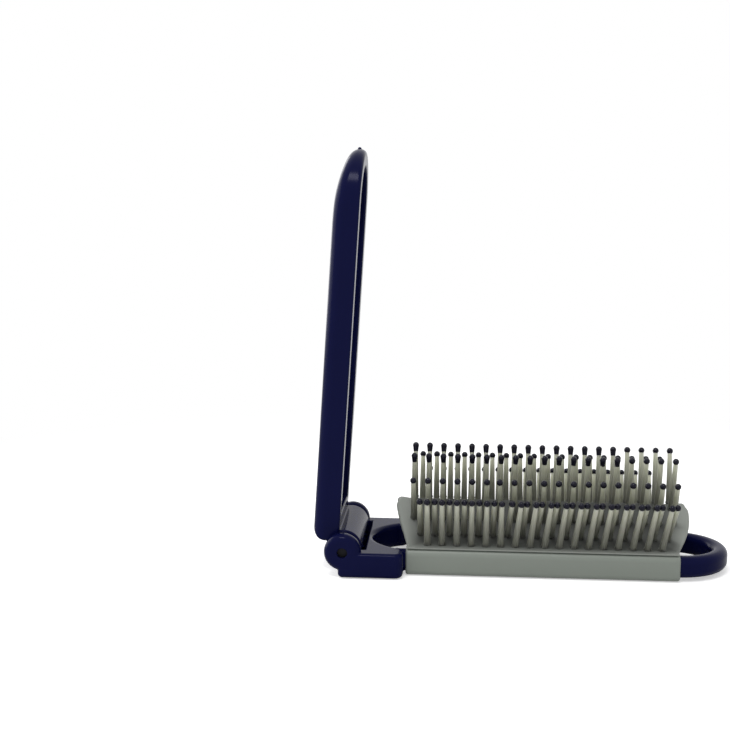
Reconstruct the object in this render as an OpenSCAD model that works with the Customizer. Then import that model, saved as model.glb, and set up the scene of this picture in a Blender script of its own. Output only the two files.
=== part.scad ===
// Folding hairbrush with a mirror lid, drawn with the lid standing nearly upright.
// Origin: under the hinge axis, on the face that the brush rests on. The brush runs along +X,
// the hinge axis along Y. All sizes are in millimetres.

/* [Overall] */
// Length of the base from the hinge axis to the tip of its loop
base_len = 101.5; // [94:0.5:125]
// Length of the lid from the hinge axis to its tip
lid_len = 102.8; // [96:0.1:125]
// Outer width of the base ring and of the lid
ring_w = 29; // [27.5:0.5:34]
// Height of the hinge axis over the rest face
hinge_z = 6.5; // [6.4:0.1:7.5]

/* [Hinge yoke] */
// Radius of the two round hinge ears
ear_r = 4.8; // [4.4:0.1:5.8]
// Thickness of each ear
ear_t = 4.4; // [3:0.1:6]
// How much smaller the lid's hinge barrel is than the ears, in radius
barrel_step = 0.1; // [0.05:0.05:0.8]
// Clearance between the barrel and the hollow it turns in
barrel_gap = 1.1; // [0.2:0.05:1.2]
// Distance of each end of the barrel from the side of the lid
barrel_inset = 0.8; // [0.2:0.1:1.5]
// Clearance between the lid and each ear
ear_gap = 0.4; // [0.3:0.05:0.6]
// Radius of the hinge pin
pin_r = 1.3; // [0.9:0.1:1.6]
// Radial clearance of the hinge pin in the lid barrel
pin_fit = 0.06; // [0.02:0.01:0.1]
// Radial clearance of the hinge pin in the ears
pin_seat = 0.02; // [0.01:0.01:0.04]
// Depth of each pin end below the outer face of its ear
pin_recess = 1.6; // [0.5:0.1:2.5]
// How far the yoke reaches behind the hinge axis
yoke_back = 1.1; // [0.8:0.1:1.2]
// How far the yoke reaches in front of the hinge axis
yoke_front = 15.6; // [13:0.1:17]
// Wall between the hinge's hollow and the opening in front of it, at the top
cross_wall = 1.2; // [0.8:0.1:4]
// Radius of that opening, seen from above
cross_r = 13.2; // [11:0.1:14]
// Radius of the yoke's edges, seen from the side
yoke_round = 0.7; // [0.5:0.1:0.7]
// Radius of the yoke's front corners, seen from above
yoke_corner = 2.4; // [1:0.1:4]

/* [Base ring] */
// Width of each rail
rail_w = 4.4; // [3.6:0.1:5]
// Height of the rail's top over the rest face
rail_top = 6.3; // [5:0.1:6.4]
// Radius of the rail's edges
rail_round = 1.7; // [0.5:0.1:1.9]

/* [Clamp bars] */
// Distance between the yoke and the clamp bars, which end where the ring's loop begins
bar_gap = 0.6; // [0.2:0.1:2]
// Wall of the clamp bars
bar_wall = 0.6; // [0.5:0.05:0.6]
// Clearance between a clamp bar and its rail
bar_fit = 0.05; // [0.02:0.01:0.1]
// Radius of the clamp bars' outer edges
bar_round = 1.2; // [0.6:0.1:2]

/* [Brush pad] */
// Distance from each end of the clamp bars to the end of the pad's hem
hem_short = 0.3; // [0:0.1:2]
// How much further the pad reaches at its crown, at the hinge end
pad_flare = 3.7; // [0:0.1:4]
// How much further the pad reaches at its crown, at the loop end
loop_flare = 4.2; // [0:0.1:5]
// Rise of the arched pad over its hem
pad_rise = 9.2; // [6:0.1:12]
// Shift of the crown towards the rear, as a share of the half width
pad_shift = 0.18; // [0:0.01:0.2]
// Wall of the pad
pad_wall = 1.2; // [0.8:0.1:1.6]
// Thickness of the pad along its hem
hem_t = 0.4; // [0.3:0.05:0.8]
// Distance of the hem from the outer face of the clamp bar
hem_inset = 0.5; // [0.2:0.1:1]

/* [Pins] */
// Length of a pin from the pad to the centre of its bead
tine_len = 14; // [9:0.1:15]
// Radius of a pin at the pad
tine_root_r = 0.9; // [0.5:0.05:0.95]
// Radius of a pin under its bead
tine_tip_r = 0.6; // [0.4:0.05:0.65]
// Radius of the collar at the foot of each pin
collar_r = 1.05; // [0.85:0.05:1.1]
// Height of the collar at the foot of each pin
collar_h = 0.5; // [0.3:0.1:0.8]
// Distance between neighbouring pins of one row
tine_pitch = 3.8; // [3.4:0.05:3.85]
// Distance between neighbouring rows
row_step = 4; // [3.6:0.05:4.05]
// Least distance from the end of a row's strip to the end of the pad
row_end = 2.5; // [1:0.1:4]
// How far the rows sit towards the loop from the middle of the pad
tine_shift = 0.5; // [-1:0.1:1]
// Width of the strip that each row of pins stands on
strip_w = 2.2; // [2:0.1:2.4]
// Clearance round each strip
strip_fit = 0.05; // [0.02:0.01:0.1]
// Radius of the bead on each pin
bead_r = 0.88; // [0.8:0.01:0.95]

/* [Lid] */
// Thickness of the lid's rim
lid_t = 7; // [4.6:0.1:7.2]
// Distance of the lid's mirror side from the hinge axis
lid_offset = 1.4; // [0.8:0.1:1.6]
// Width of the lid's rim
lid_rail_w = 4.2; // [3.4:0.1:4.6]
// Radius of the rim's edges
lid_round = 1.7; // [0.5:0.1:1.9]
// Lean of the lid towards the brush, in degrees
lid_lean = 3; // [0:0.5:10]
// Thickness of the panel under the mirror
panel_t = 2.2; // [1:0.1:2.6]
// Distance of the panel's back from the back of the rim
panel_inset = 0.4; // [0.2:0.1:0.8]
// Height of the solid foot of the lid over the hinge axis
foot_len = 8; // [6:0.1:10]
// Distance of the foot's lower edge from the hinge axis
foot_start = 1.5; // [1.4:0.1:2]
// Radius of the lid's back corner at its foot
heel_r = 3.5; // [1:0.1:4]
// Radius of the bow that thins the lid's back towards its tip
bow_r = 64; // [50:1:120]
// Length of the bow
bow_len = 20; // [10:1:25]
// Radius of the catch at the lid's tip
catch_r = 0.5; // [0.3:0.05:0.7]
// How far the catch stands out of the tip
catch_h = 0.6; // [0.3:0.1:1]

/* [Mirror] */
// Distance from the hinge axis to the near end of the mirror
mirror_start = 11; // [10.5:0.1:14]
// Length of the mirror
mirror_len = 70.5; // [60:0.1:72]
// Thickness of the mirror
mirror_t = 1.5; // [1:0.1:2]
// Thickness of the adhesive sheet behind the mirror
tape_t = 0.3; // [0.1:0.05:0.4]
// Clearance round the mirror
mirror_fit = 0.15; // [0.1:0.05:0.3]
// Distance of the adhesive sheet's edge from the mirror's edge
tape_inset = 1; // [0.5:0.1:3]

/* [Hidden] */
$fn = 48;
// How far a cutting solid reaches past what it cuts
past = 1;

navy = [0.12, 0.13, 0.36];
pad_green = [0.56, 0.59, 0.54];
pin_cream = [0.70, 0.71, 0.64];
bead_black = [0.12, 0.12, 0.16];

ring_half = ring_w / 2;
yoke_half = ring_half + ear_gap + ear_t;
yoke_w = 2 * yoke_half;
barrel_r = ear_r - barrel_step;
hollow_r = barrel_r + barrel_gap;
cross_x = hollow_r + cross_wall;
// The clamp bars under the rails lie flush with the rest face
bar_out = bar_fit + bar_wall;
rail_bottom = bar_out;
rail_h = rail_top - rail_bottom;
opening_r = ring_half - rail_w;
ear_in = ring_half + ear_gap;
loop_x = base_len - ring_half;

bar_top = rail_top + bar_out;
bar_bottom = rail_bottom - bar_out;
bar_face = ring_half + bar_out;
bar_start = yoke_front + bar_gap;
bar_len = loop_x - bar_start;

pad_x = [bar_start + hem_short, loop_x - hem_short];
pad_mid_x = (pad_x[0] + pad_x[1]) / 2;
pad_half = bar_face - hem_inset;
hem_z = bar_top + hem_t;
pad_top = hem_z + pad_rise;
pad_steps = 32;
pad_end_steps = 8;

// The seven rows, front to rear: pins in a row, lean across the brush, and the extra lean along it
// of the pins right of the sixth, which stand less straight than the others.
most_pins = floor((pad_x[1] - pad_x[0] + pad_flare + loop_flare - strip_w - 2 * row_end) / tine_pitch) + 1;
row_count = [for (fewer = [2, 1, 0, 0, 0, 1, 2]) most_pins - fewer];
row_lean = [26, 41, 34, 16, -12, -14, -25];
row_skew = [4.5, 3, -2, 0, 0, 0, 0];
straight_pins = 6;
fan_lean = 0.5;

panel_z = lid_offset + lid_t - panel_inset - panel_t;
lid_half = ring_half;
panel_half = lid_half - lid_rail_w / 2;
mirror_half = lid_half - lid_rail_w - mirror_fit;
mirror_back = panel_z - tape_t;
mirror_face = mirror_back - mirror_t;
// What the bow leaves of the lid's thickness at its tip
tip_t = lid_t - bow_r + sqrt(pow(bow_r, 2) - pow(bow_len, 2));

// Surface height of the arched pad at a place across it, and its slope there
function pad_bend(y) = y / pad_half - pad_shift * (1 - pow(y / pad_half, 2));
function pad_z(y) = hem_z + pad_rise * pow(cos(90 * pad_bend(y)), 2);
function pad_slope(y) = (pad_z(y + 0.05) - pad_z(y - 0.05)) / 0.1;
function pad_under(y) = max(bar_top, pad_z(y) - pad_wall * sqrt(1 + pow(pad_slope(y), 2)));
function row_y(row) = (row - 4) * row_step;

// Places and leans of the pins in a row
function tine_x(row, i) = pad_mid_x + tine_shift + (i - (row_count[row - 1] - 1) / 2) * tine_pitch;
function tine_fan(row, i) = fan_lean * (2 * i / (row_count[row - 1] - 1) - 1);
function tine_skew(row, i) = tine_fan(row, i) + (i < straight_pins ? 0 : row_skew[row - 1]);

module rounded(w, h, r) {
    translate([-w / 2 + r, 0]) square([w - 2 * r, h]);
    translate([-w / 2, r]) square([w, h - 2 * r]);
    for (x = [r - w / 2, w / 2 - r], y = [r, h - r])
        translate([x, y]) circle(r = r);
}

// Draws its children's outline, given in Y and Z, from one X to another
module along_x(x0, x1) translate([x0, 0, 0]) rotate([90, 0, 90]) linear_extrude(x1 - x0) children();

// Draws its children's outline, given in X and Z, across a width centred on the brush
module across(w) translate([0, w / 2, 0]) rotate([90, 0, 0]) linear_extrude(w) children();

module rail_outline() rounded(rail_w, rail_h, rail_round);

module base_ring() {
    for (side = [-1, 1])
        translate([0, side * (ring_half - rail_w / 2), rail_bottom])
            along_x(yoke_front - yoke_round - past, loop_x) rail_outline();
    translate([loop_x, 0, rail_bottom])
        rotate([0, 0, -90]) rotate_extrude(angle = 180)
            translate([ring_half - rail_w / 2, 0]) rail_outline();
}

// Plan of the yoke: a square back, rounded front corners, and a round opening
module yoke_plan() difference() {
    union() {
        translate([-yoke_back, -yoke_half]) square([yoke_back + yoke_front - yoke_corner, yoke_w]);
        translate([-yoke_back, yoke_corner - yoke_half])
            square([yoke_back + yoke_front, yoke_w - 2 * yoke_corner]);
        for (side = [-1, 1])
            translate([yoke_front - yoke_corner, side * (yoke_half - yoke_corner)]) circle(r = yoke_corner);
    }
    translate([cross_x + cross_r, 0]) circle(r = cross_r);
    translate([cross_x + cross_r, -cross_r]) square([yoke_front, 2 * cross_r]);
}

module yoke_side() translate([(yoke_front - yoke_back) / 2, 0])
    rounded(yoke_front + yoke_back, hinge_z, yoke_round);

module base_frame() color(navy) difference() {
    union() {
        intersection() {
            linear_extrude(hinge_z) yoke_plan();
            across(yoke_w) yoke_side();
        }
        translate([0, 0, hinge_z]) across(yoke_w) circle(r = ear_r);
        base_ring();
    }
    translate([0, 0, hinge_z]) {
        across(2 * ear_in) circle(r = hollow_r);
        across(2 * ear_in) translate([-ear_r - past, 0]) square([2 * ear_r + past, ear_r + past]);
        across(2 * ear_in) translate([-ear_r - past, -hinge_z])
            square([ear_r + past - yoke_back, hinge_z + past]);
        across(yoke_w + 2 * past) circle(r = pin_r + pin_seat);
    }
}

module hinge_pin() color("silver")
    translate([0, 0, hinge_z]) across(yoke_w - 2 * pin_recess) circle(r = pin_r);

// A bar that wraps one rail from outside and is open towards the other
module clamp_bar(side) color(pad_green) difference() {
    translate([0, side * (bar_face - rail_w / 2 - bar_out), bar_bottom])
        along_x(bar_start, bar_start + bar_len) rounded(rail_w + 2 * bar_out, bar_top - bar_bottom, bar_round);
    translate([0, side * (ring_half - rail_w / 2), rail_bottom - bar_fit])
        along_x(bar_start - past, bar_start + bar_len + past)
            rounded(rail_w + 2 * bar_fit, rail_h + 2 * bar_fit, rail_round + bar_fit);
    translate([0, side * (opening_r - bar_out - past), rail_bottom + rail_round])
        along_x(bar_start - past, bar_start + bar_len + past)
            translate([-past - bar_out, 0]) square([2 * (past + bar_out), rail_h - 2 * rail_round]);
}

module pad_outline() polygon(concat(
    [for (i = [0 : pad_steps]) let (y = pad_half * (2 * i / pad_steps - 1)) [y, pad_z(y)]],
    [for (i = [pad_steps : -1 : 0]) let (y = pad_half * (2 * i / pad_steps - 1)) [y, pad_under(y)]]));

// End of the pad at the loop, at a share of its rise
function loop_end(share) = pad_x[1] + loop_flare * (1 - pow(1 - share, 3));

// The arched sheet, longer at its crown than at its hem
module pad_sheet() intersection() {
    along_x(pad_x[0] - pad_flare, pad_x[1] + loop_flare) pad_outline();
    across(bar_face * 2 + past) polygon(concat(
        [[pad_x[0], bar_top - past], [pad_x[1], bar_top - past]],
        [for (i = [0 : pad_end_steps]) [loop_end(i / pad_end_steps), hem_z + pad_rise * i / pad_end_steps]],
        [[loop_end(1), pad_top + past], [pad_x[0] - pad_flare, pad_top + past],
         [pad_x[0] - pad_flare, pad_top], [pad_x[0], hem_z]]));
}

// The slice of the sheet that a row of pins stands on
module row_slice(row, w) translate([0, row_y(row), pad_z(row_y(row))]) rotate([row_lean[row - 1], 0, 0])
    along_x(tine_x(row, 0) - w / 2, tine_x(row, row_count[row - 1] - 1) + w / 2)
        translate([-w / 2, -3 * pad_wall]) square([w, 5 * pad_wall]);

module brush_pad() color(pad_green) difference() {
    pad_sheet();
    for (row = [1 : 7]) row_slice(row, strip_w + 2 * strip_fit);
}

// Puts its children at the foot of each pin of a row, with +Z along the pin
module at_tines(row) for (i = [0 : row_count[row - 1] - 1])
    translate([tine_x(row, i), row_y(row), pad_z(row_y(row))])
        rotate([row_lean[row - 1], 0, 0]) rotate([0, tine_skew(row, i), 0]) children();

module pin_row(row) color(pin_cream) {
    intersection() {
        pad_sheet();
        row_slice(row, strip_w);
    }
    at_tines(row) {
        translate([0, 0, -hem_t / 2])
            cylinder(r1 = tine_root_r, r2 = tine_tip_r, h = tine_len + hem_t / 2 - bead_seat(), $fn = 16);
        translate([0, 0, -hem_t / 2]) cylinder(r = collar_r, h = collar_h + hem_t / 2, $fn = 16);
    }
}

// Distance from a bead's centre to the flat that rests on its pin
function bead_seat() = sqrt(pow(bead_r, 2) - pow(tine_tip_r + 0.03, 2));

module bead_row(row) color(bead_black) at_tines(row)
    translate([0, 0, tine_len]) rotate_extrude($fn = 20) intersection() {
        circle(r = bead_r);
        translate([0, -bead_seat()]) square([bead_r + past, 2 * bead_r]);
    }

// Turns its children about the hinge axis, from upright to the lean of the lid
module leaned() translate([0, 0, hinge_z]) rotate([0, lid_lean, 0]) translate([0, 0, -hinge_z]) children();

// The lid's outlines are given in Y and in the distance along the lid, and its thickness grows
// away from the mirror side.
module lid_slab(depth, t) translate([-depth, 0, hinge_z]) rotate([0, -90, 0]) linear_extrude(t)
    children();

module lid_rim_outline() rounded(lid_rail_w, lid_t, lid_round);

module lid_rim() translate([-lid_offset, 0, hinge_z]) rotate([0, -90, 0]) {
    for (side = [-1, 1])
        translate([0, side * (lid_half - lid_rail_w / 2), 0])
            along_x(foot_start, lid_len - lid_half) lid_rim_outline();
    translate([lid_len - lid_half, 0, 0]) rotate([0, 0, -90]) rotate_extrude(angle = 180)
        translate([lid_half - lid_rail_w / 2, 0]) lid_rim_outline();
}

module lid_panel_plan() {
    translate([foot_start, -panel_half]) square([lid_len - lid_half - foot_start, 2 * panel_half]);
    translate([lid_len - lid_half, 0]) circle(r = panel_half);
}

// What the rounded corner takes off the back of the lid at its foot
module heel_cut() translate([0, 0, hinge_z]) across(ring_w + 2 * past) difference() {
    translate([-lid_offset - lid_t - past, foot_start - past]) square(heel_r + past);
    translate([heel_r - lid_offset - lid_t, foot_start + heel_r]) circle(r = heel_r);
}

// What the bow takes off the back of the lid near its tip
module bow_cut() translate([0, 0, hinge_z]) across(ring_w + 2 * past) difference() {
    translate([-lid_offset - lid_t - past, lid_len - bow_len]) square([bow_r / 2, bow_len + past]);
    translate([bow_r - lid_offset - lid_t, lid_len - bow_len]) circle(r = bow_r, $fn = 96);
}

module lid_frame() color(navy) leaned() difference() {
    union() {
        difference() {
            union() {
                lid_rim();
                lid_slab(mirror_face, lid_offset + lid_t - panel_inset - mirror_face) lid_panel_plan();
                lid_slab(lid_offset + lid_round / 2, lid_t - lid_round)
                    translate([foot_start, -lid_half + lid_round / 2])
                        square([foot_len - foot_start, ring_w - lid_round]);
            }
            bow_cut();
            heel_cut();
        }
        translate([0, 0, hinge_z]) across(ring_w - 2 * barrel_inset) circle(r = barrel_r);
        translate([-lid_offset - tip_t / 2, 0, hinge_z + lid_len - catch_r])
            cylinder(r = catch_r, h = catch_r + catch_h, $fn = 24);
    }
    lid_slab(mirror_face - past, panel_z - mirror_face + past)
        translate([mirror_start - mirror_fit, -mirror_half - mirror_fit])
            square([mirror_len + 2 * mirror_fit, 2 * (mirror_half + mirror_fit)]);
    translate([0, 0, hinge_z]) across(ring_w + 2 * past) circle(r = pin_r + pin_fit);
}

module mirror_glass() color("silver") leaned() lid_slab(mirror_face, mirror_t)
    translate([mirror_start, -mirror_half]) square([mirror_len, 2 * mirror_half]);

module mirror_tape() color("white") leaned() lid_slab(mirror_back, tape_t)
    translate([mirror_start + tape_inset, tape_inset - mirror_half])
        square([mirror_len - 2 * tape_inset, 2 * (mirror_half - tape_inset)]);

base_frame();
clamp_bar(-1);  // front_clamp_bar
clamp_bar(1);  // rear_clamp_bar
brush_pad();
hinge_pin();
for (row = [1 : 7]) {
    pin_row(row);
    bead_row(row);
}
lid_frame();
mirror_glass();
mirror_tape();
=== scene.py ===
import math
import bmesh
import bpy
import numpy as np
from mathutils import Euler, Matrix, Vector


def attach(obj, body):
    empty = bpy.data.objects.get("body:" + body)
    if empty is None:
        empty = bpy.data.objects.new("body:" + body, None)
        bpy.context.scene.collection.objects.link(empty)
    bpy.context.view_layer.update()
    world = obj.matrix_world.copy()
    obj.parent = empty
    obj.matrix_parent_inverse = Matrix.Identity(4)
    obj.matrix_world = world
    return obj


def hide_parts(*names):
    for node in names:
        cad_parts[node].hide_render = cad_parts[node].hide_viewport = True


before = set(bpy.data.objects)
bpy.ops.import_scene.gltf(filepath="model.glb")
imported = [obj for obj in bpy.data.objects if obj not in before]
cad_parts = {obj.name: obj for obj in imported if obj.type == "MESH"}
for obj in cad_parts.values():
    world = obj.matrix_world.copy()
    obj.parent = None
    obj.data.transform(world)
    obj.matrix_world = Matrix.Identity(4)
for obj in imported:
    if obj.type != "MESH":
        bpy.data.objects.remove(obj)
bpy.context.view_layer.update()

mm = 0.001

# Where things are, in millimetres. X runs along the brush, Y along the hinge axis, Z up.
hinge = {"z": 6.5, "earIn": 14.9, "earOut": 19.3, "earRadius": 4.8, "barrelRadius": 4.7, "barrelHalf": 13.7,
         "hollowRadius": 5.8, "holeRadius": 1.32, "lean": math.radians(3.0)}
ring = {"half": 14.5, "railWidth": 4.4, "bottom": 0.65, "top": 6.3, "loopX": 87.0, "round": 2.0}


# small helpers

def newMesh(name, points, faces, finish, smooth=True):
    mesh = bpy.data.meshes.new(name)
    mesh.from_pydata([tuple(float(c) * mm for c in p) for p in points], [], faces)
    mesh.materials.append(finish)
    mesh.polygons.foreach_set("use_smooth", [smooth] * len(mesh.polygons))
    mesh.update()
    piece = bpy.data.objects.new(name, mesh)
    bpy.context.scene.collection.objects.link(piece)
    return piece


def bakeDown(piece):
    # turns the piece and its modifiers into a plain mesh
    graph = bpy.context.evaluated_depsgraph_get()
    mesh = bpy.data.meshes.new_from_object(piece.evaluated_get(graph))
    old = piece.data
    piece.modifiers.clear()
    piece.data = mesh
    bpy.data.meshes.remove(old)
    return piece


def smoothMin(a, b, k):
    h = np.clip(0.5 + 0.5 * (b - a) / k, 0.0, 1.0)
    return b + (a - b) * h - k * h * (1.0 - h)


def smoothMax(a, b, k):
    return -smoothMin(-a, -b, k)


def roundSlab(outline, along, half, radius):
    # an outline's distance, given a thickness with all its edges rounded
    u = outline + radius
    v = np.abs(along) - half + radius
    return np.hypot(np.maximum(u, 0.0), np.maximum(v, 0.0)) + np.minimum(np.maximum(u, v), 0.0) - radius


def roundRect(u, v, halfU, halfV, radius):
    a = np.abs(u) - halfU + radius
    b = np.abs(v) - halfV + radius
    return np.hypot(np.maximum(a, 0.0), np.maximum(b, 0.0)) + np.minimum(np.maximum(a, b), 0.0) - radius


def mouldedShell(name, field, low, high, step, finish):
    # a skin over everywhere that field is below zero, one quad to each crossed grid edge
    axes = [np.arange(a, b + step, step) for a, b in zip(low, high)]
    grid = np.meshgrid(*axes, indexing="ij")
    value = field(*grid).astype(np.float64)
    inside = value < 0
    shape = tuple(n - 1 for n in value.shape)
    corner = [(i, j, k) for i in (0, 1) for j in (0, 1) for k in (0, 1)]
    count = sum(inside[i:i + shape[0], j:j + shape[1], k:k + shape[2]].astype(np.int8) for i, j, k in corner)
    cells = np.argwhere((count > 0) & (count < 8))
    index = -np.ones(shape, dtype=np.int64)
    index[tuple(cells.T)] = np.arange(len(cells))
    total = np.zeros((len(cells), 3))
    hits = np.zeros(len(cells))
    for a in corner:
        for b in corner:
            if sum(b) - sum(a) != 1 or any(q < p for p, q in zip(a, b)):
                continue
            va = value[tuple((cells + a).T)]
            vb = value[tuple((cells + b).T)]
            crossed = (va < 0) != (vb < 0)
            t = np.where(crossed, va / np.where(crossed, va - vb, 1.0), 0.0)
            place = cells + np.array(a) + (np.array(b) - np.array(a)) * t[:, None]
            total += place * crossed[:, None]
            hits += crossed
    points = np.array(low) + total / hits[:, None] * step
    start = points.copy()
    small = step * 0.05
    for _ in range(4):  # pull each point onto the true surface
        here = field(*points.T)
        slope = np.stack([(field(*(points + d).T) - field(*(points - d).T)) / (2 * small)
                          for d in np.eye(3) * small], axis=1)
        points -= here[:, None] * slope / np.maximum((slope ** 2).sum(axis=1), 0.2)[:, None]
        points = np.clip(points, start - 0.6 * step, start + 0.6 * step)
    faces = []
    for axis in range(3):
        o1, o2 = [(1, 2), (2, 0), (0, 1)][axis]
        first = [slice(None)] * 3
        second = [slice(None)] * 3
        first[axis] = slice(0, -1)
        second[axis] = slice(1, None)
        change = np.argwhere(inside[tuple(first)] != inside[tuple(second)])
        change = change[(change[:, o1] > 0) & (change[:, o2] > 0)
                        & (change[:, o1] < shape[o1]) & (change[:, o2] < shape[o2])]
        outward = inside[tuple(first)][tuple(change.T)]
        quad = []
        for d1, d2 in [(-1, -1), (0, -1), (0, 0), (-1, 0)]:
            cell = change.copy()
            cell[:, o1] += d1
            cell[:, o2] += d2
            quad.append(index[tuple(cell.T)])
        quad = np.stack(quad, axis=1)
        quad[~outward] = quad[~outward][:, ::-1]
        faces.append(quad)
    faces = np.concatenate(faces)
    piece = newMesh(name, points, faces.tolist(), finish)
    slope = np.stack([field(*(points + d).T) - field(*(points - d).T) for d in np.eye(3) * small], axis=1)
    slope /= np.maximum(np.linalg.norm(slope, axis=1), 1e-9)[:, None]
    piece.data.normals_split_custom_set_from_vertices(slope)
    print(name, len(faces), "quads")
    return piece


# materials

def addGroup(name, inputs, outputs):
    tree = bpy.data.node_groups.new(name, "ShaderNodeTree")
    for label, kind, value in inputs:
        socket = tree.interface.new_socket(label, in_out="INPUT", socket_type=kind)
        socket.default_value = value
    for label, kind in outputs:
        tree.interface.new_socket(label, in_out="OUTPUT", socket_type=kind)
    return tree, tree.nodes.new("NodeGroupInput"), tree.nodes.new("NodeGroupOutput")


def node(tree, kind, **values):
    made = tree.nodes.new(kind)
    for key, value in values.items():
        setattr(made, key, value)
    return made


def buildSurfaceGrain():
    # moulded plastic or rubber: a fine dimple, a soft mottling and a roughness that wanders a little
    tree, source, sink = addGroup(
        "surfaceGrain",
        [("Color", "NodeSocketColor", (0.5, 0.5, 0.5, 1)), ("Mottle", "NodeSocketFloat", 0.05),
         ("Mottle Scale", "NodeSocketFloat", 120.0), ("Roughness", "NodeSocketFloat", 0.4),
         ("Roughness Spread", "NodeSocketFloat", 0.05), ("Grain Scale", "NodeSocketFloat", 2500.0),
         ("Grain Height", "NodeSocketFloat", 0.00001)],
        [("Color", "NodeSocketColor"), ("Roughness", "NodeSocketFloat"), ("Height", "NodeSocketFloat")])
    link = tree.links.new
    place = node(tree, "ShaderNodeTexCoord")
    broad = node(tree, "ShaderNodeTexNoise")
    broad.inputs["Detail"].default_value = 3
    fine = node(tree, "ShaderNodeTexNoise")
    fine.inputs["Detail"].default_value = 2
    link(place.outputs["Object"], broad.inputs["Vector"])
    link(place.outputs["Object"], fine.inputs["Vector"])
    link(source.outputs["Mottle Scale"], broad.inputs["Scale"])
    link(source.outputs["Grain Scale"], fine.inputs["Scale"])
    centred = node(tree, "ShaderNodeMath", operation="SUBTRACT")
    centred.inputs[1].default_value = 0.5
    link(broad.outputs["Fac"], centred.inputs[0])
    shade = node(tree, "ShaderNodeMath", operation="MULTIPLY_ADD")
    link(centred.outputs[0], shade.inputs[0])
    link(source.outputs["Mottle"], shade.inputs[1])
    shade.inputs[2].default_value = 1.0
    tinted = node(tree, "ShaderNodeVectorMath", operation="SCALE")
    link(source.outputs["Color"], tinted.inputs[0])
    link(shade.outputs[0], tinted.inputs["Scale"])
    link(tinted.outputs[0], sink.inputs["Color"])
    rough = node(tree, "ShaderNodeMath", operation="MULTIPLY_ADD")
    link(centred.outputs[0], rough.inputs[0])
    link(source.outputs["Roughness Spread"], rough.inputs[1])
    link(source.outputs["Roughness"], rough.inputs[2])
    link(rough.outputs[0], sink.inputs["Roughness"])
    height = node(tree, "ShaderNodeMath", operation="MULTIPLY")
    link(fine.outputs["Fac"], height.inputs[0])
    link(source.outputs["Grain Height"], height.inputs[1])
    link(height.outputs[0], sink.inputs["Height"])
    return tree


surfaceGrain = buildSurfaceGrain()


def ramp(tree, value, low, high):
    # a smooth step from 0 at low to 1 at high
    made = node(tree, "ShaderNodeMapRange", interpolation_type="SMOOTHSTEP")
    made.inputs["From Min"].default_value = low
    made.inputs["From Max"].default_value = high
    tree.links.new(value, made.inputs["Value"])
    return made.outputs["Result"]


def math2(tree, operation, first, second):
    made = node(tree, "ShaderNodeMath", operation=operation)
    for socket, value in zip(made.inputs, (first, second)):
        if isinstance(value, (int, float)):
            socket.default_value = value
        elif value is not None:
            tree.links.new(value, socket)
    return made.outputs[0]


def scaleColour(tree, colour, amount):
    made = node(tree, "ShaderNodeVectorMath", operation="SCALE")
    tree.links.new(colour, made.inputs[0])
    tree.links.new(amount, made.inputs["Scale"])
    return made.outputs[0]


def paintedShadeAmongPins(tree, colour, sizes):
    # painted shade: the pad's colour is darkened among the pins, where the shade falls between them, and left full
    # on its border
    place = node(tree, "ShaderNodeTexCoord")
    parts = node(tree, "ShaderNodeSeparateXYZ")
    tree.links.new(place.outputs["Object"], parts.inputs[0])
    along = math2(tree, "ABSOLUTE", math2(tree, "SUBTRACT", parts.outputs["X"], sizes["Middle"]), None)
    across = math2(tree, "ABSOLUTE", parts.outputs["Y"], None)
    clearX = ramp(tree, along, sizes["Half Length"] - sizes["Soft"], sizes["Half Length"] + sizes["Soft"])
    clearY = ramp(tree, across, sizes["Half Width"] - sizes["Soft"], sizes["Half Width"] + sizes["Soft"])
    clear = math2(tree, "MAXIMUM", clearX, clearY)
    amount = math2(tree, "ADD", math2(tree, "MULTIPLY", clear, 1 - sizes["Shade"]), sizes["Shade"])
    return scaleColour(tree, colour, amount)


def paintedPinShadeAndLight(tree, colour, sizes):
    # painted shade and light: a pin's colour is darkened at its foot, where the shade falls among the pins, and
    # brightened towards its tip
    rise = node(tree, "ShaderNodeAttribute", attribute_name="rise")
    square = math2(tree, "MULTIPLY", rise.outputs["Fac"], rise.outputs["Fac"])
    amount = math2(tree, "ADD", math2(tree, "MULTIPLY", square, sizes["tip"] - sizes["foot"]), sizes["foot"])
    return scaleColour(tree, colour, amount)


def finish(name, look):
    made = bpy.data.materials.new(name)
    made.use_nodes = True
    tree = made.node_tree
    shader = tree.nodes["Principled BSDF"]
    for label, value in look.get("shader", {}).items():
        shader.inputs[label].default_value = value
    grain = node(tree, "ShaderNodeGroup", node_tree=surfaceGrain)
    for label, value in look["grain"].items():
        grain.inputs[label].default_value = value
    colour = grain.outputs["Color"]
    # field paints shade on the pad among the pins; rise paints shade at a pin's foot and light towards its tip
    for kind, builder in (("field", paintedShadeAmongPins), ("rise", paintedPinShadeAndLight)):
        if kind in look:
            colour = builder(tree, colour, look[kind])
    tree.links.new(colour, shader.inputs["Base Color"])
    tree.links.new(grain.outputs["Roughness"], shader.inputs["Roughness"])
    bump = node(tree, "ShaderNodeBump")
    bump.inputs["Distance"].default_value = 1.0
    bump.inputs["Strength"].default_value = look.get("bump", 1.0)
    tree.links.new(grain.outputs["Height"], bump.inputs["Height"])
    tree.links.new(bump.outputs["Normal"], shader.inputs["Normal"])
    return made


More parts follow.
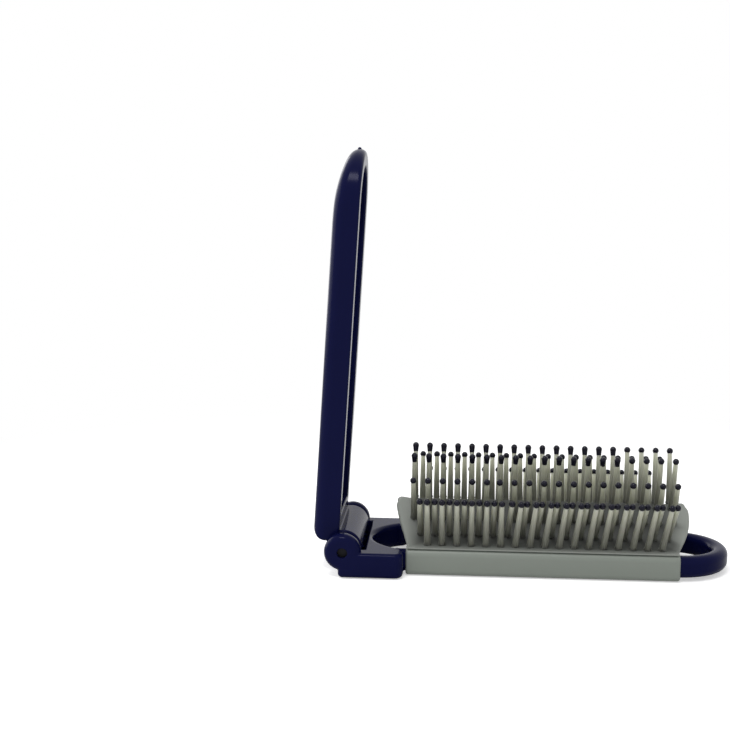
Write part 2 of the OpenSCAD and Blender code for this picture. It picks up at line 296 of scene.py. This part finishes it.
navyPlastic = finish("navyPlastic", {
    "grain": {"Color": (0.0034, 0.0046, 0.034, 1), "Mottle": 0.2, "Mottle Scale": 90.0, "Roughness": 0.19,
              "Roughness Spread": 0.08, "Grain Scale": 900.0, "Grain Height": 0.000004},
    "shader": {"Specular IOR Level": 0.06, "Specular Tint": (0.8, 0.8, 1, 1)}})
padRubber = finish("padRubber", {
    "grain": {"Color": (0.26, 0.275, 0.252, 1), "Mottle": 0.12, "Mottle Scale": 160.0, "Roughness": 0.55,
              "Roughness Spread": 0.1, "Grain Scale": 3200.0, "Grain Height": 0.000016},
    "shader": {"Specular IOR Level": 0.3},
    # field: painted shade among the pins
    "field": {"Shade": 0.26, "Half Length": 0.034, "Half Width": 0.0126, "Middle": 0.0521,
              "Soft": 0.003}})
clampPlastic = finish("clampPlastic", {
    "grain": {"Color": (0.215, 0.238, 0.21, 1), "Mottle": 0.07, "Mottle Scale": 110.0, "Roughness": 0.4,
              "Roughness Spread": 0.08, "Grain Scale": 2600.0, "Grain Height": 0.00001},
    "shader": {"Specular IOR Level": 0.35}})
pinNylon = finish("pinNylon", {
    "grain": {"Color": (0.31, 0.315, 0.265, 1), "Mottle": 0.1, "Mottle Scale": 300.0, "Roughness": 0.4,
              "Roughness Spread": 0.1, "Grain Scale": 2000.0, "Grain Height": 0.000006},
    "shader": {"Specular IOR Level": 0.35, "Subsurface Weight": 0.85, "Subsurface Scale": 0.003,
               "Subsurface Radius": (1.0, 1.0, 0.85)},
    # rise: painted shade at the foot, painted light towards the tip
    "rise": {"foot": 0.45, "tip": 1.75}})
beadCoat = finish("beadCoat", {
    "grain": {"Color": (0.004, 0.004, 0.011, 1), "Mottle": 0.2, "Mottle Scale": 400.0, "Roughness": 0.16,
              "Roughness Spread": 0.1, "Grain Scale": 2500.0, "Grain Height": 0.000006},
    "shader": {"Specular IOR Level": 0.35, "Specular Tint": (0.55, 0.55, 0.6, 1)}})
darkSteel = finish("darkSteel", {
    "grain": {"Color": (0.02, 0.02, 0.022, 1), "Mottle": 0.3, "Mottle Scale": 500.0, "Roughness": 0.5,
              "Roughness Spread": 0.2, "Grain Scale": 3000.0, "Grain Height": 0.00001},
    "shader": {"Metallic": 1.0}})
mirrorSilver = finish("mirrorSilver", {
    "grain": {"Color": (0.86, 0.87, 0.88, 1), "Mottle": 0.01, "Mottle Scale": 60.0, "Roughness": 0.04,
              "Roughness Spread": 0.02, "Grain Scale": 300.0, "Grain Height": 0.0000003},
    "shader": {"Metallic": 1.0}})
tapeWhite = finish("tapeWhite", {
    "grain": {"Color": (0.7, 0.7, 0.67, 1), "Mottle": 0.1, "Mottle Scale": 200.0, "Roughness": 0.8,
              "Roughness Spread": 0.1, "Grain Scale": 2000.0, "Grain Height": 0.00001}})
print("finishes ready")


# base: ring, yoke and ears in one moulding

yoke = {"back": -1.1, "front": 15.6, "edge": 1.1, "corner": 2.2, "openX": 20.2, "openRadius": 13.2,
        "earEdge": 1.9, "openEdge": 1.6, "step": 0.3}


def yokePlan(x, y):
    mid = (yoke["front"] + yoke["back"]) / 2
    half = (yoke["front"] - yoke["back"]) / 2
    radius = np.where(x > mid, yoke["corner"], 1.1)
    return roundRect(x - mid, y, half, hinge["earOut"], radius)


def railSection(x, y, z):
    middle = (ring["bottom"] + ring["top"]) / 2
    centre = ring["half"] - ring["railWidth"] / 2
    offset = np.where(x < ring["loopX"], np.abs(y), np.hypot(x - ring["loopX"], y)) - centre
    return roundRect(offset, z - middle, ring["railWidth"] / 2, (ring["top"] - ring["bottom"]) / 2, ring["round"])


def baseField(x, y, z):
    block = roundSlab(yokePlan(x, y), z - hinge["z"] / 2, hinge["z"] / 2, yoke["edge"])
    opening = np.hypot(np.minimum(x - yoke["openX"], 0.0), y) - yoke["openRadius"]
    block = smoothMax(block, -opening, yoke["openEdge"])
    rail = np.maximum(railSection(x, y, z), yoke["front"] - 1.7 - x)
    fromAxis = np.hypot(x, z - hinge["z"])
    earMid = (hinge["earIn"] + hinge["earOut"]) / 2
    earHalf = (hinge["earOut"] - hinge["earIn"]) / 2
    ear = roundSlab(fromAxis - hinge["earRadius"], np.abs(y) - earMid, earHalf, yoke["earEdge"])
    body = np.maximum(smoothMin(block, ear, 0.3), np.abs(y) - hinge["earOut"])
    body = smoothMin(body, rail, 0.7)
    hollow = np.maximum(fromAxis - hinge["hollowRadius"], np.abs(y) - hinge["earIn"])
    body = smoothMax(body, -hollow, 0.25)
    return smoothMax(body, hinge["holeRadius"] - fromAxis, 0.2)


baseShell = mouldedShell("baseShell", baseField, (-6.0, -20.0, -0.9), (102.6, 20.0, 12.6), yoke["step"], navyPlastic)
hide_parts("base_frame")
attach(baseShell, "base")


# lid: rim, panel, foot and barrel

lid = {"length": 102.8, "front": 1.4, "back": 8.4, "rimWidth": 4.2, "backRound": 3.2, "frontRound": 0.45,
       "tipBackRound": 2.1, "tipFrontRound": 1.5, "panelBack": 8.0, "shelf": 4.0, "pocketFloor": 5.8,
       "mirrorFrom": 11.0, "mirrorTo": 81.5, "mirrorHalf": 10.15, "gap": 0.15, "footFrom": 1.5, "footTo": 8.0,
       "heel": 3.5, "bowRadius": 64.0, "bowLength": 20.0, "catchDepth": 3.3, "catchRadius": 0.5,
       "pinHole": 1.36, "step": 0.3}


def lidPlace(x, z):
    # distance along the lid from the hinge axis, and depth behind the axis plane
    rise = z - hinge["z"]
    c, s = math.cos(hinge["lean"]), math.sin(hinge["lean"])
    return x * s + rise * c, -x * c + rise * s


def roundCorner(u, v, radius):
    # distance to a right-angled corner at u = v = 0 that is rounded to a radius
    a = u + radius
    b = v + radius
    return np.hypot(np.maximum(a, 0.0), np.maximum(b, 0.0)) + np.minimum(np.maximum(a, b), 0.0) - radius


def lidField(x, y, z):
    along, depth = lidPlace(x, z)
    arcX = lid["length"] - ring["half"]
    outer = np.where(along < arcX, np.abs(y), np.hypot(along - arcX, y)) - ring["half"]
    bowed = np.clip(along - lid["length"] + lid["bowLength"], 0.0, lid["bowLength"] + 3)
    back = lid["back"] - lid["bowRadius"] + np.sqrt(lid["bowRadius"] ** 2 - bowed ** 2)
    nearTip = np.clip(bowed / lid["bowLength"], 0.0, 1.0) ** 2
    frontRound = lid["frontRound"] + (lid["tipFrontRound"] - lid["frontRound"]) * nearTip
    backRound = lid["backRound"] + (lid["tipBackRound"] - lid["backRound"]) * nearTip
    body = np.where(depth > (lid["front"] + back) / 2, roundCorner(outer, depth - back, backRound),
                    roundCorner(outer, lid["front"] - depth, frontRound))
    body = smoothMax(body, lid["footFrom"] - along, 0.7)
    well = np.maximum(outer + lid["rimWidth"], lid["footTo"] - along)
    body = smoothMax(body, -np.maximum(well, depth - lid["shelf"]), 0.5)
    body = smoothMax(body, -np.maximum(well, lid["panelBack"] - depth), 0.8)
    heel = roundCorner(lid["footFrom"] - along, depth - lid["back"], lid["heel"])
    body = smoothMax(body, heel, 0.6)
    fromAxis = np.hypot(along, depth)
    barrel = roundSlab(fromAxis - hinge["barrelRadius"], y, hinge["barrelHalf"], 0.5)
    body = smoothMin(body, barrel, 0.6)
    fromCatch = np.hypot(depth - lid["catchDepth"], y)
    catch = np.hypot(fromCatch, np.maximum(along - lid["length"], 0.0)) - lid["catchRadius"]
    body = smoothMin(body, np.maximum(catch, lid["length"] - 1.0 - along), 0.2)
    pocket = np.maximum(np.maximum(lid["mirrorFrom"] - lid["gap"] - along, along - lid["mirrorTo"] - lid["gap"]),
                        np.maximum(np.abs(y) - lid["mirrorHalf"] - lid["gap"], depth - lid["pocketFloor"]))
    body = smoothMax(body, -pocket, 0.15)
    return smoothMax(body, lid["pinHole"] - fromAxis, 0.15)


lidShell = mouldedShell("lidShell", lidField, (-9.2, -15.1, 1.6), (5.2, 15.1, 110.2), lid["step"], navyPlastic)
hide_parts("lid_frame")
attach(lidShell, "lid")


# clamp bars

clamp = {"from": 16.2, "to": 87.0, "face": 15.15, "inner": 9.45, "top": 6.95, "round": 1.35,
         "topRound": 2.0, "endRound": 0.55, "wall": 0.62, "lip": 2.35}  # lip is a lip's height on the inner side


def arc(cy, cz, radius, start, end, steps):
    return [(cy + radius * math.cos(math.radians(a)), cz + radius * math.sin(math.radians(a)))
            for a in np.linspace(start, end, steps + 1)]


def clampBar(name, side):
    # the section in (y, z), drawn for the rear bar: the outer skin from lip to lip, then the inner one back
    face, inner, top, lip, wall = (clamp[key] for key in ("face", "inner", "top", "lip", "wall"))
    r, big = clamp["round"], clamp["topRound"]
    outside = ([(inner, top - lip)] + arc(inner + r, top - r, r, 180, 90, 6)
               + arc(face - big, top - big, big, 90, 0, 8) + [(face, top / 2)]
               + arc(face - r, r, r, 0, -90, 8) + arc(inner + r, r, r, -90, -180, 6) + [(inner, lip)])
    centreY = (inner + face) / 2
    inside = ([(inner + wall, lip)] + arc(inner + r, r, r - wall, -180, -90, 6)
              + arc(face - r, r, r - wall, -90, 0, 8) + [(face - wall, top / 2)]
              + arc(face - big, top - big, big - wall, 0, 90, 8) + arc(inner + r, top - r, r - wall, 90, 180, 6)
              + [(inner + wall, top - lip)])
    loop = [(p, True) for p in outside] + [(p, False) for p in inside]
    stations = [(clamp["from"] + clamp["endRound"] * (1 - math.cos(a)), clamp["endRound"] * (1 - math.sin(a)))
                for a in np.linspace(0, math.pi / 2, 7)]
    mirrored = [(clamp["from"] + clamp["to"] - x, inset) for x, inset in reversed(stations)]
    middle = [(x, 0.0) for x in np.linspace(stations[-1][0], mirrored[0][0], 40)[1:-1]]
    points, faces = [], []
    for x, inset in stations + middle + mirrored:
        for (y, z), isOut in loop:
            if isOut:  # only the outer skin draws in at the ends
                scaleY = 1 - inset / ((face - inner) / 2)
                scaleZ = 1 - inset / (top / 2)
                y, z = centreY + (y - centreY) * scaleY, top / 2 + (z - top / 2) * scaleZ
            points.append((x, side * y, z))
    n = len(loop)
    rows = len(points) // n
    for i in range(rows - 1):
        for j in range(n):
            a, b = i * n + j, i * n + (j + 1) % n
            faces.append((a, b, b + n, a + n))
    half = len(outside)
    for i in (0, rows - 1):  # the cut ends, one strip of quads between the skins
        for j in range(half - 1):
            a, b = i * n + j, i * n + j + 1
            c, d = i * n + n - 2 - j, i * n + n - 1 - j
            faces.append((a, b, c, d))
    piece = newMesh(name, points, faces, clampPlastic)
    mesh = bmesh.new()
    mesh.from_mesh(piece.data)
    bmesh.ops.recalc_face_normals(mesh, faces=mesh.faces)
    mesh.to_mesh(piece.data)
    mesh.free()
    piece.data.set_sharp_from_angle(angle=math.radians(50))
    return piece


for name, side, cadNode in (("frontClamp", -1, "front_clamp_bar"), ("rearClamp", 1, "rear_clamp_bar")):
    bar = clampBar(name, side)
    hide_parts(cadNode)
    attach(bar, "base")
print("clamp bars ready")


# pad: an arched membrane with a thick lip at each end

pad = {"half": 14.65, "hemZ": 7.35, "rise": 9.2, "shift": 0.18, "wall": 1.2, "underZ": 6.95,
       "hemFrom": 16.5, "hemTo": 86.7, "flareHinge": 3.7, "flareLoop": 4.2,
       "corner": 0.9, "lip": 0.28, "lipWidth": 2.6, "across": 72, "along": 150}


def padBend(y):
    return y / pad["half"] - pad["shift"] * (1 - (y / pad["half"]) ** 2)


def padZ(y):
    return pad["hemZ"] + pad["rise"] * math.cos(math.pi / 2 * padBend(y)) ** 2


def padSlope(y):
    return (padZ(y + 0.02) - padZ(y - 0.02)) / 0.04


def padEnds(z):
    # both ends stand out towards the crown, where their corners are rounded off
    share = (z - pad["hemZ"]) / pad["rise"]
    corner = pad["corner"] * max((share - 0.86) / 0.14, 0.0) ** 2
    return (pad["hemFrom"] - pad["flareHinge"] * share * (1.5 - 0.5 * share) + corner,
            pad["hemTo"] + pad["flareLoop"] * (1 - (1 - share) ** 3) - corner)


def smoothStep(t):
    t = min(max(t, 0.0), 1.0)
    return t * t * (3 - 2 * t)


def buildPad():
    points, faces = [], []
    ys = [pad["half"] * math.sin(math.pi / 2 * t) for t in np.linspace(-1, 1, pad["across"] + 1)]
    rounds = 6
    for y in ys:
        z = padZ(y)
        slope = padSlope(y)
        size = math.hypot(1, slope)
        normal = (-slope / size, 1 / size)
        low = max(pad["underZ"], z - pad["wall"] * size)
        thick = (z - low) / size
        start, end = padEnds(z)
        loop = []
        xs = [start + thick / 2 + (end - start - thick) * (0.5 - 0.5 * math.cos(math.pi * t))
              for t in np.linspace(0, 1, pad["along"] + 1)]
        for x in xs:
            near = min(x - start, end - x)
            dish = pad["lip"] * smoothStep((near - 0.7) / pad["lipWidth"]) * min(1.0, thick / pad["wall"])
            loop.append((x, -dish))
        for k in range(1, rounds):
            a = math.pi / 2 - math.pi * k / rounds
            loop.append((end - thick / 2 + thick / 2 * math.cos(a), -thick / 2 + thick / 2 * math.sin(a)))
        for x in reversed(xs):
            loop.append((x, -thick))
        for k in range(1, rounds):
            a = -math.pi / 2 - math.pi * k / rounds
            loop.append((start + thick / 2 + thick / 2 * math.cos(a), -thick / 2 + thick / 2 * math.sin(a)))
        for x, out in loop:
            points.append((x, y + normal[0] * out, z + normal[1] * out))
    n = len(loop)
    for i in range(len(ys) - 1):
        for j in range(n):
            a, b = i * n + j, i * n + (j + 1) % n
            faces.append((a, a + n, b + n, b))
    faces.append(tuple(range(n)))
    faces.append(tuple(reversed(range((len(ys) - 1) * n, len(ys) * n))))
    piece = newMesh("padMembrane", points, faces, padRubber)
    mesh = bmesh.new()
    mesh.from_mesh(piece.data)
    bmesh.ops.recalc_face_normals(mesh, faces=mesh.faces)
    mesh.to_mesh(piece.data)
    mesh.free()
    piece.data.set_sharp_from_angle(angle=math.radians(60))
    return piece


padMembrane = buildPad()
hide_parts("brush_pad")
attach(padMembrane, "base")
print("pad ready")


# pins and beads, by Geometry Nodes

pins = {"count": [17, 18, 19, 19, 19, 18, 17], "lean": [26, 41, 34, 16, -12, -14, -25],
        "skew": [4.5, 3, -2, 0, 0, 0, 0], "straight": 6, "fan": 0.5, "pitch": 3.8, "rowStep": 4.0, "midX": 52.1,
        "length": 14.0, "rootRadius": 0.9, "tipRadius": 0.6, "collarRadius": 1.05, "collarHeight": 0.5,
        "beadRadius": 0.88, "neckLength": 1.6, "neckRows": (4, 5), "neckPins": 15, "sides": 14, "seed": 7}


def pinFeet():
    # one loose vertex at each pin's foot, and an attribute with the way that it points
    feet, aims, necks = [], [], []
    for row in range(7):
        y = (row - 3) * pins["rowStep"]
        lean = math.radians(pins["lean"][row])
        count = pins["count"][row]
        for i in range(count):
            skew = math.radians(pins["fan"] * (2 * i / (count - 1) - 1)
                                + (0 if i < pins["straight"] else pins["skew"][row]))
            feet.append((pins["midX"] + (i - (count - 1) / 2) * pins["pitch"], y, padZ(y)))
            aims.append((math.sin(skew), -math.sin(lean) * math.cos(skew), math.cos(lean) * math.cos(skew)))
            necks.append(row + 1 in pins["neckRows"] and i < pins["neckPins"])
    holder = newMesh("pinFeet", feet, [], pinNylon)
    aim = holder.data.attributes.new("aim", "FLOAT_VECTOR", "POINT")
    aim.data.foreach_set("vector", [c for a in aims for c in a])
    necked = holder.data.attributes.new("necked", "BOOLEAN", "POINT")
    necked.data.foreach_set("value", necks)
    return holder


def startField(name, sizes):
    # a node tree with a mesh in, named sizes and a finish, and a mesh out
    tree = bpy.data.node_groups.new(name, "GeometryNodeTree")
    tree.interface.new_socket("Geometry", in_out="INPUT", socket_type="NodeSocketGeometry")
    names = {}
    for label, kind, value in sizes:
        socket = tree.interface.new_socket(label, in_out="INPUT", socket_type=kind)
        if value is not None:
            socket.default_value = value
        names[label] = socket.identifier
    tree.interface.new_socket("Geometry", in_out="OUTPUT", socket_type="NodeSocketGeometry")
    return tree, tree.nodes.new("NodeGroupInput"), tree.nodes.new("NodeGroupOutput"), names


def placeOnFeet(tree, source, shape):
    # instances of shape on the feet, turned to their aim
    link = tree.links.new
    aim = node(tree, "GeometryNodeInputNamedAttribute", data_type="FLOAT_VECTOR")
    aim.inputs["Name"].default_value = "aim"
    turn = node(tree, "FunctionNodeAlignRotationToVector", axis="Z")
    link(aim.outputs["Attribute"], turn.inputs["Vector"])
    spread = node(tree, "GeometryNodeInstanceOnPoints")
    link(source, spread.inputs["Points"])
    link(shape, spread.inputs["Instance"])
    link(turn.outputs["Rotation"], spread.inputs["Rotation"])
    return spread


def endField(tree, sink, geometry, finishSocket):
    link = tree.links.new
    real = node(tree, "GeometryNodeRealizeInstances")
    link(geometry, real.inputs["Geometry"])
    paint = node(tree, "GeometryNodeSetMaterial")
    link(real.outputs["Geometry"], paint.inputs["Geometry"])
    link(finishSocket, paint.inputs["Material"])
    link(paint.outputs["Geometry"], sink.inputs["Geometry"])


def buildPinTree():
    tree, source, sink, names = startField("pinField", [
        ("Length", "NodeSocketFloat", 0.014), ("Root Radius", "NodeSocketFloat", 0.00075),
        ("Tip Radius", "NodeSocketFloat", 0.00055), ("Collar Radius", "NodeSocketFloat", 0.00095),
        ("Collar Height", "NodeSocketFloat", 0.0005), ("Sides", "NodeSocketInt", 14),
        ("Finish", "NodeSocketMaterial", None)])
    link = tree.links.new
    shaft = node(tree, "GeometryNodeMeshCone", fill_type="NGON")
    shaft.inputs["Side Segments"].default_value = 3
    link(source.outputs["Sides"], shaft.inputs["Vertices"])
    link(source.outputs["Tip Radius"], shaft.inputs["Radius Top"])
    link(source.outputs["Root Radius"], shaft.inputs["Radius Bottom"])
    link(source.outputs["Length"], shaft.inputs["Depth"])
    sunk = node(tree, "GeometryNodeTransform")  # the foot stands a little way inside the pad
    sunk.inputs["Translation"].default_value = (0, 0, -0.0004)
    link(shaft.outputs["Mesh"], sunk.inputs["Geometry"])
    here = node(tree, "GeometryNodeInputPosition")
    height = node(tree, "ShaderNodeSeparateXYZ")
    link(here.outputs[0], height.inputs[0])
    share = node(tree, "ShaderNodeMath", operation="DIVIDE")
    link(height.outputs["Z"], share.inputs[0])
    link(source.outputs["Length"], share.inputs[1])
    rise = node(tree, "GeometryNodeStoreNamedAttribute", data_type="FLOAT", domain="POINT")
    rise.inputs["Name"].default_value = "rise"
    link(sunk.outputs["Geometry"], rise.inputs["Geometry"])
    link(share.outputs[0], rise.inputs["Value"])
    collar = node(tree, "GeometryNodeMeshCone", fill_type="NGON")
    slope = node(tree, "ShaderNodeMath", operation="MULTIPLY")
    slope.inputs[1].default_value = 0.9
    link(source.outputs["Collar Radius"], slope.inputs[0])
    link(source.outputs["Sides"], collar.inputs["Vertices"])
    link(slope.outputs[0], collar.inputs["Radius Top"])
    link(source.outputs["Collar Radius"], collar.inputs["Radius Bottom"])
    link(source.outputs["Collar Height"], collar.inputs["Depth"])
    both = node(tree, "GeometryNodeJoinGeometry")
    link(rise.outputs["Geometry"], both.inputs["Geometry"])
    link(collar.outputs["Mesh"], both.inputs["Geometry"])
    spread = placeOnFeet(tree, source.outputs["Geometry"], both.outputs["Geometry"])
    endField(tree, sink, spread.outputs["Instances"], source.outputs["Finish"])
    return tree, names


def buildBeadTree():
    tree, source, sink, names = startField("beadField", [
        ("Pin Length", "NodeSocketFloat", 0.014), ("Bead Radius", "NodeSocketFloat", 0.00088),
        ("Neck Radius", "NodeSocketFloat", 0.0006), ("Neck Length", "NodeSocketFloat", 0.0015),
        ("Spread", "NodeSocketFloat", 0.06), ("Seed", "NodeSocketInt", 7),
        ("Finish", "NodeSocketMaterial", None)])
    link = tree.links.new
    ball = node(tree, "GeometryNodeMeshUVSphere")
    ball.inputs["Segments"].default_value = 14
    ball.inputs["Rings"].default_value = 9
    link(source.outputs["Bead Radius"], ball.inputs["Radius"])
    neck = node(tree, "GeometryNodeMeshCone", fill_type="NGON")
    neck.inputs["Vertices"].default_value = 14
    widest = node(tree, "ShaderNodeMath", operation="MULTIPLY")
    widest.inputs[1].default_value = 0.93
    link(source.outputs["Bead Radius"], widest.inputs[0])
    link(widest.outputs[0], neck.inputs["Radius Top"])
    link(source.outputs["Neck Radius"], neck.inputs["Radius Bottom"])
    link(source.outputs["Neck Length"], neck.inputs["Depth"])
    down = node(tree, "ShaderNodeMath", operation="MULTIPLY")
    down.inputs[1].default_value = -1.0
    link(source.outputs["Neck Length"], down.inputs[0])
    below = node(tree, "ShaderNodeCombineXYZ")
    link(down.outputs[0], below.inputs["Z"])
    hung = node(tree, "GeometryNodeTransform")
    link(neck.outputs["Mesh"], hung.inputs["Geometry"])
    link(below.outputs[0], hung.inputs["Translation"])
    # the beads sit at the far end of the pins
    aim = node(tree, "GeometryNodeInputNamedAttribute", data_type="FLOAT_VECTOR")
    aim.inputs["Name"].default_value = "aim"
    reach = node(tree, "ShaderNodeVectorMath", operation="SCALE")
    link(aim.outputs["Attribute"], reach.inputs[0])
    link(source.outputs["Pin Length"], reach.inputs["Scale"])
    tips = node(tree, "GeometryNodeSetPosition")
    link(source.outputs["Geometry"], tips.inputs["Geometry"])
    link(reach.outputs[0], tips.inputs["Offset"])
    spread = placeOnFeet(tree, tips.outputs["Geometry"], ball.outputs["Mesh"])
    below = placeOnFeet(tree, tips.outputs["Geometry"], hung.outputs["Geometry"])
    necked = node(tree, "GeometryNodeInputNamedAttribute", data_type="BOOLEAN")
    necked.inputs["Name"].default_value = "necked"
    link(necked.outputs["Attribute"], below.inputs["Selection"])
    most = node(tree, "ShaderNodeMath", operation="ADD")
    most.inputs[0].default_value = 1.0
    least = node(tree, "ShaderNodeMath", operation="SUBTRACT")
    least.inputs[0].default_value = 1.0
    link(source.outputs["Spread"], least.inputs[1])
    link(source.outputs["Spread"], most.inputs[1])
    size = node(tree, "FunctionNodeRandomValue", data_type="FLOAT")
    link(least.outputs[0], size.inputs[2])
    size.inputs[3].default_value = 1.0
    link(source.outputs["Seed"], size.inputs["Seed"])
    link(size.outputs[1], spread.inputs["Scale"])
    both = node(tree, "GeometryNodeJoinGeometry")
    link(spread.outputs["Instances"], both.inputs["Geometry"])
    link(below.outputs["Instances"], both.inputs["Geometry"])
    endField(tree, sink, both.outputs["Geometry"], source.outputs["Finish"])
    return tree, names


def grow(name, builder, values, sharp):
    tree, names = builder()
    piece = pinFeet()
    piece.name = name
    modifier = piece.modifiers.new(name, "NODES")
    modifier.node_group = tree
    for label, value in values.items():
        modifier[names[label]] = value
    bakeDown(piece)
    piece.data.polygons.foreach_set("use_smooth", [True] * len(piece.data.polygons))
    piece.data.set_sharp_from_angle(angle=math.radians(sharp))
    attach(piece, "base")
    print(name, len(piece.data.polygons), "faces")
    return piece


brushPins = grow("brushPins", buildPinTree, {
    "Length": pins["length"] * mm, "Root Radius": pins["rootRadius"] * mm, "Tip Radius": pins["tipRadius"] * mm,
    "Collar Radius": pins["collarRadius"] * mm, "Collar Height": pins["collarHeight"] * mm,
    "Sides": pins["sides"], "Finish": pinNylon}, 40)
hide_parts(*["pin_row_%d" % row for row in range(1, 8)])
pinBeads = grow("pinBeads", buildBeadTree, {
    "Pin Length": pins["length"] * mm, "Bead Radius": pins["beadRadius"] * mm,
    "Neck Radius": (pins["tipRadius"] + 0.05) * mm, "Neck Length": pins["neckLength"] * mm,
    "Spread": 0.06, "Seed": pins["seed"], "Finish": beadCoat}, 60)
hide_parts(*["bead_row_%d" % row for row in range(1, 8)])


# pieces that stay as the frame has them

for cadNode, look in (("hinge_pin", darkSteel), ("mirror_glass", mirrorSilver), ("mirror_tape", tapeWhite)):
    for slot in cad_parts[cadNode].material_slots:
        slot.material = look


# studio

studio = {"floor": 6.0, "floorZ": -0.0002, "paper": (0.88, 0.88, 0.88, 1), "middle": (0.045, 0, 0),
          "white": 1.0, "fill": 0.64, "paperLift": 0.45, "fadeFrom": 0.1, "fadeTo": 0.24}


def glowOnly(tree, low, high):
    # low for light that falls on the object, high for what the camera, gloss and glass see
    path = node(tree, "ShaderNodeLightPath")
    seen = math2(tree, "MAXIMUM", path.outputs["Is Camera Ray"], path.outputs["Is Glossy Ray"])
    seen = math2(tree, "MAXIMUM", seen, path.outputs["Is Transmission Ray"])
    return math2(tree, "ADD", math2(tree, "MULTIPLY", seen, high - low), low)


def buildSky():
    # white to the camera, gloss and glass, and a plain fill for the light that falls on the object
    world = bpy.data.worlds.new("studio")
    bpy.context.scene.world = world
    world.use_nodes = True
    sky = world.node_tree.nodes["Background"]
    sky.inputs["Color"].default_value = (1, 1, 1, 1)
    world.node_tree.links.new(glowOnly(world.node_tree, studio["fill"], studio["white"]), sky.inputs["Strength"])


def buildFloor():
    # paper that keeps the shadow near the object and fades into the white further out
    half = studio["floor"] / 2
    corners = [(-half, -half), (half, -half), (half, half), (-half, half)]
    mesh = bpy.data.meshes.new("floor")
    mesh.from_pydata([(x, y, studio["floorZ"]) for x, y in corners], [], [(0, 1, 2, 3)])
    floor = bpy.data.objects.new("floor", mesh)
    bpy.context.scene.collection.objects.link(floor)
    paper = bpy.data.materials.new("paper")
    paper.use_nodes = True
    tree = paper.node_tree
    shader = tree.nodes["Principled BSDF"]
    shader.inputs["Base Color"].default_value = studio["paper"]
    shader.inputs["Roughness"].default_value = 0.9
    shader.inputs["Specular IOR Level"].default_value = 0.0
    place = node(tree, "ShaderNodeTexCoord")
    flat = node(tree, "ShaderNodeVectorMath", operation="SUBTRACT")
    flat.inputs[1].default_value = studio["middle"]
    tree.links.new(place.outputs["Object"], flat.inputs[0])
    reach = node(tree, "ShaderNodeVectorMath", operation="LENGTH")
    tree.links.new(flat.outputs[0], reach.inputs[0])
    far = ramp(tree, reach.outputs["Value"], studio["fadeFrom"], studio["fadeTo"])
    white = node(tree, "ShaderNodeEmission")
    white.inputs["Strength"].default_value = studio["white"]
    lifted = node(tree, "ShaderNodeEmission")
    path = node(tree, "ShaderNodeLightPath")
    tree.links.new(math2(tree, "MULTIPLY", path.outputs["Is Camera Ray"], studio["paperLift"]),
                   lifted.inputs["Strength"])
    near = node(tree, "ShaderNodeAddShader")
    tree.links.new(shader.outputs[0], near.inputs[0])
    tree.links.new(lifted.outputs[0], near.inputs[1])
    blend = node(tree, "ShaderNodeMixShader")
    tree.links.new(math2(tree, "MULTIPLY", far, glowOnly(tree, 0.0, 1.0)), blend.inputs[0])
    tree.links.new(near.outputs[0], blend.inputs[1])
    tree.links.new(white.outputs[0], blend.inputs[2])
    tree.links.new(blend.outputs[0], tree.nodes["Material Output"].inputs["Surface"])
    mesh.materials.append(paper)


def addLamp(name, place, aim, size, power):
    data = bpy.data.lights.new(name, "AREA")
    data.shape = "RECTANGLE"
    data.size, data.size_y = size
    data.energy = power
    lamp = bpy.data.objects.new(name, data)
    lamp.location = Vector(place)
    lamp.rotation_euler = (Vector(aim) - Vector(place)).to_track_quat("-Z", "Y").to_euler()
    lamp.visible_camera = False
    bpy.context.scene.collection.objects.link(lamp)


buildSky()
buildFloor()
addLamp("sidePanel", (-0.42, 0.2, 0.18), (0.0, 0, 0.05), (0.8, 0.34), 2.2)
addLamp("topPanel", (-0.07, -0.36, 0.75), (0.02, 0, 0.04), (0.28, 0.18), 2.4)

shot = {"location": (28.360, -353.172, 102.696), "turn": (81.98226, -0.84502, 2.54756), "focal": 1346.57,
        "frame": 730, "middleX": 400}
camera = bpy.data.cameras.new("photoView")
camera.sensor_width = 36.0
camera.sensor_fit = "HORIZONTAL"
camera.lens = shot["focal"] * 36.0 / shot["frame"]
camera.shift_x = -(shot["middleX"] - shot["frame"] / 2) / shot["frame"]
camera.clip_start = 0.01
cameraHolder = bpy.data.objects.new("photoView", camera)
cameraHolder.location = Vector(shot["location"]) * mm
cameraHolder.rotation_euler = Euler([math.radians(a) for a in shot["turn"]])
bpy.context.scene.collection.objects.link(cameraHolder)
bpy.context.scene.camera = cameraHolder
bpy.context.scene.view_settings.view_transform = "Standard"
print("studio ready")
